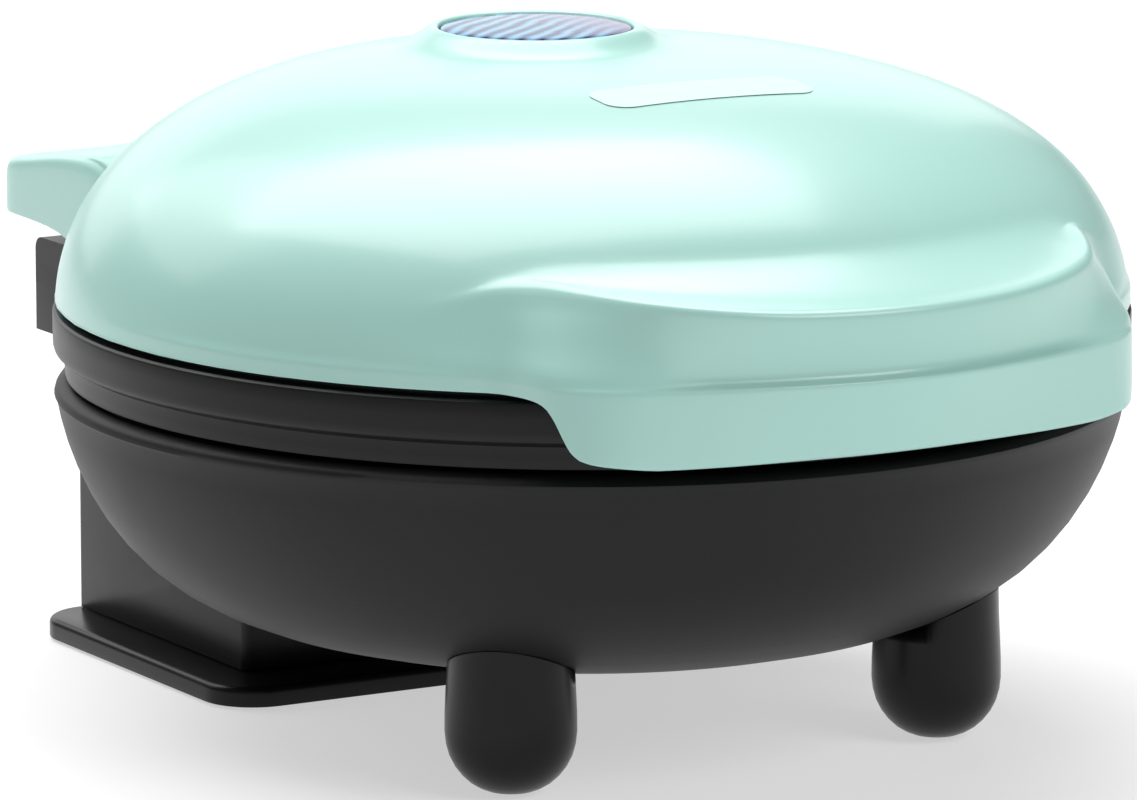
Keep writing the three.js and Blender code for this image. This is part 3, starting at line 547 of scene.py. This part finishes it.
def grip_rows(off):
    """Lower rows of a column at so many degrees off the front, as (radius, height)."""
    crest, high = smooth_line(CREST, off), smooth_line(CREST_HIGH, off)
    crease = smooth_line(CREASE, off)
    skirt = smooth_line(SKIRT, off)
    edge = smooth_line(EDGE, off)
    step = mix(1.7, 0.7, ease(off, 18, 26)) * (1 - ease(off, 30, 36.5))
    shelf = dome_radius(SHELF_Z)
    room = crest - shelf
    soft = min(mix(1, 2.6, ease(off, 24, 40)), room / 2.4)
    lip, dip = crest - 1.5 * soft, min(room / 14, 1)
    shaped = [
        (dome_radius(SHOULDER_Z), SHOULDER_Z),
        (shelf, SHELF_Z - 0.1),
        (mix(shelf, lip, 0.3), mix(SHELF_Z, high, 0.3) - 0.9 * dip),
        (mix(shelf, lip, 0.62), mix(SHELF_Z, high, 0.62) - 1.3 * dip),
        (mix(shelf, lip, 0.88), mix(SHELF_Z, high, 0.86) - 0.7 * dip),
        (lip, high + 0.15),
        (crest - 0.3 * soft, high - 0.45 * soft),
        (crest, high - 1.8 * soft),
        (mix(crest, crease, 0.3) - 0.45 * step, high - mix(5, 7, ease(off, 24, 40))),
        (mix(crest, crease, 0.62) - 0.85 * step, 91),
        (crease - 1.15 * step, 87.2),
        (crease - 1.0 * step, CREASE_Z + 0.5),
        (crease - 0.12 * step, CREASE_Z + 0.05),
        (mix(crease, skirt, 0.03), CREASE_Z - 0.4),
        (mix(crease, skirt, 0.35), mix(CREASE_Z, edge, 0.36)),
        (mix(crease, skirt, 0.68), mix(CREASE_Z, edge, 0.68)),
        (mix(crease, skirt, 0.93), mix(CREASE_Z, edge, 0.93)),
        (skirt, edge),
    ]
    wall_share, edge_share = 1 - ease(off, 34, 52), ease(off, 38, 42.5)
    rows = []
    for row, (plain_z, (r, z)) in enumerate(zip(PLAIN_HEIGHTS, shaped)):
        if row < FIRST_SKIRT_ROW:
            rows.append((mix(dome_radius(plain_z), r, wall_share), mix(plain_z, z, wall_share)))
        else:
            rows.append((max(r, dome_radius(max(z, DOME_BASE + 2))), mix(z, plain_z, edge_share)))
    return rows


HOOD_X, HOOD_BACK, HOOD_CORNER = 66, 124.4, 5
HOOD_TOP, HOOD_WALL_TOP = 97, 93.6
HOOD_UNDER = [(82, LID_EDGE), (90, 83.2), (100, 85.9), (124.5, 86.3)]
HOOD_LIFT = [(90, 4.5), (104, 3), (114, 1.2), (124.5, 0)]


def hood_radius(off):
    """Distance from the body's axis to the hood's outline, so many degrees off the back."""
    t = math.radians(off)
    corner = Vector((HOOD_X - HOOD_CORNER, HOOD_BACK - HOOD_CORNER))
    ray = Vector((math.sin(t), math.cos(t)))
    if ray.x * HOOD_BACK / ray.y <= corner.x:
        return HOOD_BACK / ray.y
    if ray.y * HOOD_X / ray.x <= corner.y:
        return HOOD_X / ray.x
    middle = corner.dot(ray)
    return middle + math.sqrt(middle**2 - corner.length_squared + HOOD_CORNER**2)


def hood_rows(off):
    """Lower rows of a column at so many degrees off the back, as (radius, height)."""
    reach = hood_radius(off)
    inner = dome_radius(SHOULDER_Z)
    back = reach * math.cos(math.radians(off))
    under, top = smooth_line(HOOD_UNDER, back), HOOD_TOP + smooth_line(HOOD_LIFT, back)
    roof = [(0, 0), (0.12, 0.16), (0.3, 0.4), (0.5, 0.62), (0.7, 0.79), (0.86, 0.9)]
    side = [(0, 0), (0, 0.25), (0, 0.48), (0, 0.65), (0, 0.78), (0, 0.88), (0.05, 0.94), (0.2, 0.98),
            (0.4, 1)]
    shaped = [(mix(inner, reach, out), mix(SHOULDER_Z, top, down)) for out, down in roof]
    shaped += [(reach - 2.8, top + 0.3), (reach - 1.1, top - 0.5), (reach - 0.2, top - 2)]
    shaped += [(reach - tuck, mix(HOOD_WALL_TOP, under, down)) for tuck, down in side]
    share = 1 - ease(off, 38.6, 42.6)
    return [(mix(dome_radius(plain_z), r, share), mix(plain_z, z, share))
            for plain_z, (r, z) in zip(PLAIN_HEIGHTS, shaped)]


# Where the cage's columns stand: degrees off the front down one side, then degrees off the back.
GRIP_TURNS = [0, 4.5, 9, 13, 16.5, 19.5, 22, 24.2, 26, 27.6, 29, 30.3, 31.3, 32.1, 32.8, 33.5, 34.3,
              35.2, 36.3, 37.6, 39, 40.6, 42.6, 45.5, 50, 56, 64, 72, 81, 91, 101, 111, 120, 127.5,
              132.5]
HOOD_TURNS = [44.6, 42.8, 41.2, 39.8, 38.4, 36.4, 34, 31.6, 29.9, 28.8, 28, 27.2, 26.4, 25.4, 23.8,
              21.6, 18.5, 14, 9, 4.5, 0]
half_turns = GRIP_TURNS + [180 - off for off in HOOD_TURNS]
lid_turns = half_turns + [360 - turn for turn in reversed(half_turns[1:-1])]
SEAT_ROWS = [(16.3, 129.3), (17.6, 129.2), (18.75, 129.2), (18.9, 129.6), (18.95, 131), (19.1, 131.6),
             (19.6, 131.9), (20.5, 131.85), (21.6, 131.2), (23, 130.1), (24.6, 129.2)]
SEAT_FOOT = [(26.6, 0.35), (29.4, 0.08), (33, 0)]
DOME_TURNS = [63, 56, 49, 42, 36]


def lid_column(turn):
    """One column of the cage, from inside the lens seat down to the lid's edge."""
    t = math.radians(turn)
    across, forward = math.sin(t), -math.cos(t)
    points = [(across * r, LENS_Y + forward * r, z) for r, z in SEAT_ROWS]
    for r, rise in SEAT_FOOT:
        x, y = across * r, LENS_Y + forward * r
        points.append((x, y, dome_height(x, y) + rise))
    foot = points[-1]
    r, _, lean = dome_row(DOME_TURNS[0])
    shoulder = (across * r, lean + forward * r)
    for share in (0.25, 0.5, 0.75):
        x, y = mix(foot[0], shoulder[0], share), mix(foot[1], shoulder[1], share)
        points.append((x, y, dome_height(x, y)))
    for dome_turn in DOME_TURNS:
        r, z, lean = dome_row(dome_turn)
        points.append((across * r, lean + forward * r, z))
    off_front = min(turn, 360 - turn)
    lower = grip_rows(off_front) if off_front < 90 else hood_rows(180 - off_front)
    points += [(across * r, forward * r, z) for r, z in lower]
    return [(x * MM, body_y + y * MM, z * MM) for x, y, z in points]


columns = [lid_column(turn) for turn in lid_turns]
rows_each = len(columns[0])
cage_faces = []
for column in range(len(columns)):
    here = column * rows_each
    beside = (column + 1) % len(columns) * rows_each
    for row in range(rows_each - 1):
        cage_faces.append((here + row, here + row + 1, beside + row + 1, beside + row))
lid_mesh = bpy.data.meshes.new("lid_dome")
lid_mesh.from_pydata([point for column in columns for point in column], [], cage_faces)
lid_dome = bpy.data.objects.new("lid_dome", lid_mesh)
bpy.context.scene.collection.objects.link(lid_dome)
tidy_mesh(lid_dome, 180)
deselect_all()
lid_dome.select_set(True)
bpy.context.view_layer.objects.active = lid_dome
wall = lid_dome.modifiers.new("wall", "SOLIDIFY")
wall.thickness = WALL * MM
wall.offset = -1
wall.edge_crease_outer = 0.55
wall.edge_crease_rim = 0.3
bpy.ops.object.modifier_apply(modifier="wall")
curve = lid_dome.modifiers.new("curve", "SUBSURF")
curve.levels = curve.render_levels = 1
bpy.ops.object.modifier_apply(modifier="curve")
mint_gloss = moulded_plastic(
    "mint_gloss", (0.39, 0.66, 0.6), roughness=0.33, grain_size=0.0022,
    grain_depth=0.000006, mottle=0.035, coat=0.3)
finish_piece(lid_dome, mint_gloss, "lid", "lid_mint", "lid_cover")


# --- Indicator lens -----------------------------------------------------------------------
# A polished tinted disc that drops into the lid's raised seat over the two lamps. Its
# underside is ribbed on the slant, which shows through as pale blue and lilac streaks.
lens_rows = [(3, 129.55), (16.4, 129.55), (18.3, 129.55), (18.55, 129.8), (18.6, 131), (18.45, 131.35),
             (18.0, 131.55), (15, 131.72), (10, 131.86), (5, 131.94), (1.5, 131.96)]
lens = turned("lens_disc", lens_rows, steps=96, centre=(0, LENS_Y))
lens_tint = bpy.data.materials.new("lens_tint")
lens_tint.use_nodes = True
nodes, links = lens_tint.node_tree.nodes, lens_tint.node_tree.links
shader = nodes["Principled BSDF"]
shader.inputs["Roughness"].default_value = 0.14
shader.inputs["Specular IOR Level"].default_value = 0.2
place = nodes.new("ShaderNodeTexCoord")
slant = nodes.new("ShaderNodeMapping")
slant.inputs["Rotation"].default_value = (0, 0, math.radians(52))
links.new(place.outputs["Object"], slant.inputs["Vector"])
ribs = nodes.new("ShaderNodeTexWave")
ribs.inputs["Scale"].default_value = 88
ribs.inputs["Distortion"].default_value = 3.2
ribs.inputs["Detail"].default_value = 3
ribs.inputs["Detail Scale"].default_value = 0.8
links.new(slant.outputs["Vector"], ribs.inputs["Vector"])
streak = nodes.new("ShaderNodeValToRGB")
streak.color_ramp.elements[0].color = (0.006, 0.03, 0.1, 1)
streak.color_ramp.elements[1].color = (0.16, 0.36, 0.56, 1)
links.new(ribs.outputs["Fac"], streak.inputs["Fac"])
split = nodes.new("ShaderNodeSeparateXYZ")
links.new(place.outputs["Object"], split.inputs["Vector"])
toward_right = nodes.new("ShaderNodeMapRange")
toward_right.inputs["From Min"].default_value = 0.002
toward_right.inputs["From Max"].default_value = 0.019
links.new(split.outputs["X"], toward_right.inputs["Value"])
lilac = nodes.new("ShaderNodeMix")
lilac.data_type = "RGBA"
lilac.inputs["B"].default_value = (0.17, 0.14, 0.26, 1)
links.new(toward_right.outputs["Result"], lilac.inputs["Factor"])
links.new(streak.outputs["Color"], lilac.inputs["A"])
links.new(lilac.outputs["Result"], shader.inputs["Base Color"])
finish_piece(lens, lens_tint, "lid", "lens_tint", "indicator_lens")


# --- Printed mark -------------------------------------------------------------------------
# A plain white pad-printed lozenge on the dome in front of the lens, with no lettering. It
# follows the dome, a hair's breadth proud of it.
MARK_X, MARK_Y, MARK_HALF_X, MARK_HALF_Y, MARK_CORNER = 3, -36, 22.6, 6.6, 4.6
MARK_LIFT, MARK_FILM = 0.01, 0.05
print_white = moulded_plastic(
    "print_white", (0.52, 0.67, 0.64), roughness=0.4, grain_size=0.0012,
    grain_depth=0.000004, mottle=0.04)
deselect_all()
bpy.ops.mesh.primitive_grid_add(x_subdivisions=54, y_subdivisions=16, size=2)
mark = named("printed_lozenge")
straight_x, straight_y = MARK_HALF_X - MARK_CORNER, MARK_HALF_Y - MARK_CORNER
for vert in mark.data.vertices:
    x, y = vert.co.x * MARK_HALF_X, vert.co.y * MARK_HALF_Y
    past_x, past_y = abs(x) - straight_x, abs(y) - straight_y
    if past_x > 0 and past_y > 0:
        reach = max(past_x, past_y) / math.hypot(past_x, past_y)
        x = math.copysign(straight_x + past_x * reach, x)
        y = math.copysign(straight_y + past_y * reach, y)
    x, y = x + MARK_X, y + MARK_Y
    vert.co = (x * MM, body_y + y * MM, (dome_height(x, y) + MARK_LIFT) * MM)
film = mark.modifiers.new("film", "SOLIDIFY")
film.thickness = MARK_FILM * MM
film.offset = 1
bpy.ops.object.modifier_apply(modifier="film")
tidy_mesh(mark, 50)
finish_piece(mark, print_white, "lid", "lid_mint")


# --- Upper frame --------------------------------------------------------------------------
# The black band under the lid cover, satin plastic. It runs the whole way round, behind the
# grip's skirt too, and holds the upper plate. Its two arms reach back to the hinge pins.
def rear_end_edge(a, b):
    """An upper crosswise edge at the back of an arm."""
    crosswise = abs(a.y - b.y) + abs(a.z - b.z) < 1e-6
    return crosswise and min(a.y, b.y) > body_y + 100 * MM and min(a.z, b.z) > 80 * MM


FRAME_TOP, ARM_NEAR, ARM_FAR = 81.0, 52.3, 60
frame_rows = [(98.9, 84.3), (98.9, 76.7), (95.6, 76.6), (95.6, 74.3), (99.0, 74.2), (99.15, 68.2),
              (99.5, 67.85), (100.3, 67.75), (101.2, 67.8), (101.6, 68), (101.75, 68.5), (101.8, 70),
              (101.85, 71.6), (101.95, 72.2), (102.4, 72.6), (103.2, 72.9), (103.75, 73.4),
              (103.97, 74.1), (RIM_R, 75), (RIM_R, 77.5), (RIM_R, 80.1), (103.85, 80.6),
              (103.4, FRAME_TOP - 0.02), (102, FRAME_TOP), (100.4, FRAME_TOP + 0.05), (100.3, 84.3)]
band = turned("black_band", frame_rows, steps=144, close="loop")
for side in (-1, 1):
    x0, x1 = sorted((side * ARM_NEAR, side * ARM_FAR))
    arm = block("arm_bar", (x0, 78, 71.4), (x1, HINGE_Y + 7.5, FRAME_TOP))
    round_edges(arm, 2.5, 5, rear_end_edge)
    arm_end = block("arm_end", (x0, HINGE_Y - 7.45, HINGE_Z - 7.5), (x1, HINGE_Y + 7.45, 76))
    combine(arm, arm_end, "UNION")
    combine(arm, turned("arm_bore", [(101.5, 60), (101.5, 95)], steps=144), "DIFFERENCE")
    eye = bar("arm_eye", PIN_R + 0.3, side * 50, side * 57.5, HINGE_Y, HINGE_Z, 32)
    combine(arm, eye, "DIFFERENCE")
    soften(arm, 0.4)
    combine(band, arm, "UNION")
tidy_mesh(band, 32)
finish_piece(band, frame_black, "lid", "frame_black", "upper_frame")


# --- Hinge pins ---------------------------------------------------------------------------
# Two short zinc-plated steel pins with eased ends. Each is pressed into one end of the tower's
# knuckle and stands out into the eye of a lid arm, which turns on it.
for side, name in ((-1, "left"), (1, "right")):
    pin = bar(f"steel_pin_{name}", PIN_R, side * 41.5, side * 57.4, HINGE_Y, HINGE_Z, 32)
    soften(pin, 0.5, 2, 60)
    finish_piece(pin, zinc_steel, "base", "zinc_steel", f"hinge_pin_{name}")


# --- Cooking plates -----------------------------------------------------------------------
# Two cast aluminium pans, each with seven ring troughs and a centre post in each, under a
# dark non-stick coat. The sheet is cast to an even thickness, so its back follows the rings.
RING_ORBIT, PLATE_R, SHEET = 58, 98.6, 2.3
LOWER_FACE, UPPER_FACE = 66.7, 67.9
TROUGH_MIDDLE, TROUGH_DEEP = 17.75, 9.25
plate_edge = [(97.6, 0), (98.2, 0.15), (98.5, 0.65), (PLATE_R, 1.75), (PLATE_R, 6.45)]
ring_turns = [i * math.pi / 3 for i in range(6)]
ring_centres = [(0, 0)] + [(RING_ORBIT * math.sin(t), RING_ORBIT * math.cos(t)) for t in ring_turns]


def trough_rows():
    """From the trough's lip down, through its bottom and up over the post: (radius, depth)."""
    rows = [(27.7, 0), (27.3, -0.12), (26.98, -0.5)]
    for turn in range(10, 171, 10):
        t = math.radians(turn)
        rows.append((TROUGH_MIDDLE + TROUGH_DEEP * math.cos(t), -TROUGH_DEEP * math.sin(t)))
    return [*rows, (8.5, -0.5), (8.15, -0.12), (7.6, 0), (4, 0)]


def extrude_rows(rows, down):
    """Draws the selected outline through the rows of (radius, depth)."""
    for (r0, d0), (r1, d1) in zip(rows, rows[1:]):
        bpy.ops.mesh.extrude_region_move(TRANSFORM_OT_translate={"value": (0, 0, down * (d1 - d0) * MM)})
        bpy.ops.transform.resize(value=(r1 / r0, r1 / r0, 1))


def cooking_plate(name, face, back):
    """A plate drawn about the body's axis; its back is below for -1 and above for 1."""
    troughs = trough_rows()
    deselect_all()
    bpy.ops.mesh.primitive_circle_add(
        vertices=144, radius=plate_edge[0][0] * MM, location=(0, body_y, face * MM))
    plate = named(name)
    for x, y in ring_centres:
        deselect_all()
        bpy.ops.mesh.primitive_circle_add(
            vertices=64, radius=troughs[0][0] * MM, location=(x * MM, body_y + y * MM, face * MM))
        named(f"{name}_hole")
        plate.select_set(True)
        bpy.context.view_layer.objects.active = plate
        bpy.ops.object.join()
    bpy.ops.object.mode_set(mode="EDIT")
    bpy.ops.mesh.select_all(action="SELECT")
    bpy.ops.mesh.fill(use_beauty=True)
    for x, y in ring_centres:
        centre = Vector((x * MM, body_y + y * MM))
        select_where(lambda v: (v.co.xy - centre).length < (troughs[0][0] + 0.1) * MM)
        extrude_rows(troughs, -back)
        bpy.ops.mesh.edge_face_add()
    axis = Vector((0, body_y))
    select_where(lambda v: (v.co.xy - axis).length > (plate_edge[0][0] - 0.2) * MM)
    extrude_rows(plate_edge, back)
    bpy.ops.mesh.select_all(action="SELECT")
    bpy.ops.mesh.remove_doubles(threshold=WELD_GAP)
    bpy.ops.mesh.normals_make_consistent(inside=False)
    bpy.ops.object.mode_set(mode="OBJECT")
    outwards = sum(facet.normal.z * facet.area for facet in plate.data.polygons) * -back > 0
    sheet = plate.modifiers.new("sheet", "SOLIDIFY")
    sheet.thickness = SHEET * MM
    sheet.offset = -1 if outwards else 1
    bpy.ops.object.modifier_apply(modifier="sheet")
    return tidy_mesh(plate, 50)


non_stick = moulded_plastic(
    "non_stick", (0.03, 0.03, 0.031), roughness=0.42, grain_size=0.0005,
    grain_depth=0.000012, mottle=0.2)
non_stick.node_tree.nodes["Principled BSDF"].inputs["Metallic"].default_value = 0.25
lower_plate = cooking_plate("ring_pan_lower", LOWER_FACE, -1)
finish_piece(lower_plate, non_stick, "base", "non_stick", "lower_cooking_plate")
upper_plate = cooking_plate("ring_pan_upper", UPPER_FACE, 1)
finish_piece(upper_plate, non_stick, "lid", "non_stick", "upper_cooking_plate")


# --- Parts inside the shells --------------------------------------------------------------
# Elements, reflectors, thermostats, the fuse, the lamp board and the terminal block keep
# their own shapes and take the finishes of sheathed steel, rolled sheet, ceramic and lacquer.
inner_finishes = {
    "sheath_steel": plated_metal("sheath_steel", (0.24, 0.22, 0.2), roughness=0.42),
    "reflector_sheet": plated_metal(
        "reflector_sheet", (0.78, 0.79, 0.8), roughness=0.3, scratch_size=0.0012),
    "zinc_steel": zinc_steel,
    "ceramic": moulded_plastic(
        "ceramic", (0.74, 0.7, 0.6), roughness=0.7, grain_size=0.0003,
        grain_depth=0.00003, mottle=0.1),
    "circuit": moulded_plastic(
        "circuit", (0.03, 0.2, 0.08), roughness=0.35, grain_size=0.0011,
        grain_depth=0.00001, mottle=0.3, coat=0.3),
    "lamp_red": moulded_plastic(
        "lamp_red", (0.7, 0.05, 0.03), roughness=0.12, grain_size=0.002,
        grain_depth=0.000004, mottle=0.05, coat=0.5),
    "lamp_white": moulded_plastic(
        "lamp_white", (0.85, 0.83, 0.76), roughness=0.12, grain_size=0.002,
        grain_depth=0.000004, mottle=0.05, coat=0.5),
}
slot_of = {row["node"]: row["material_slot"] for row in frame["record"]["subparts"]}
for name, node in frame["nodes"].items():
    if slot_of[name] in inner_finishes and not node.hide_render:
        node.data.materials.clear()
        node.data.materials.append(inner_finishes[slot_of[name]])


# --- Studio -------------------------------------------------------------------------------
# A light table that glows a little under the object, soft panels overhead and behind for the
# broad highlights on the dome, a weaker one high in front, and a dim even surround.
deselect_all()
bpy.ops.mesh.primitive_plane_add(size=12, location=(0, 0, -0.0005))
floor = named("floor")
table_white = bpy.data.materials.new("table_white")
table_white.use_nodes = True
shader = table_white.node_tree.nodes["Principled BSDF"]
shader.inputs["Base Color"].default_value = (0.42, 0.42, 0.42, 1)
shader.inputs["Roughness"].default_value = 0.9
shader.inputs["Emission Color"].default_value = (1, 1, 1, 1)
shader.inputs["Emission Strength"].default_value = 0.55
floor.data.materials.append(table_white)
PANEL_AIM_Z = 0.08


def soft_panel(name, place, size, power):
    """A rectangular lamp at a place in metres, turned to the middle of the body."""
    light_data = bpy.data.lights.new(name, "AREA")
    light_data.shape = "RECTANGLE"
    light_data.size, light_data.size_y = size
    light_data.energy = power
    light = bpy.data.objects.new(name, light_data)
    light.location = place
    toward = Vector(place) - Vector((0, body_y, PANEL_AIM_Z))
    light.rotation_euler = toward.to_track_quat("Z", "Y").to_euler()
    bpy.context.scene.collection.objects.link(light)


soft_panel("panel_top", (0, 0.42, 1.3), (1.5, 1.25), power=28)
soft_panel("panel_shoulder", (-0.55, 1.1, 0.9), (1.2, 0.7), power=4.5)
soft_panel("panel_back", (0.45, 1.7, 0.5), (2.0, 0.7), power=5)
soft_panel("panel_front", (0.45, -1.25, 0.95), (0.8, 0.7), power=9)
world = bpy.data.worlds.new("surround")
world.use_nodes = True
world.node_tree.nodes["Background"].inputs["Color"].default_value = (1, 1, 1, 1)
world.node_tree.nodes["Background"].inputs["Strength"].default_value = 0.15
bpy.context.scene.world = world
bpy.context.scene.view_settings.view_transform = "Standard"
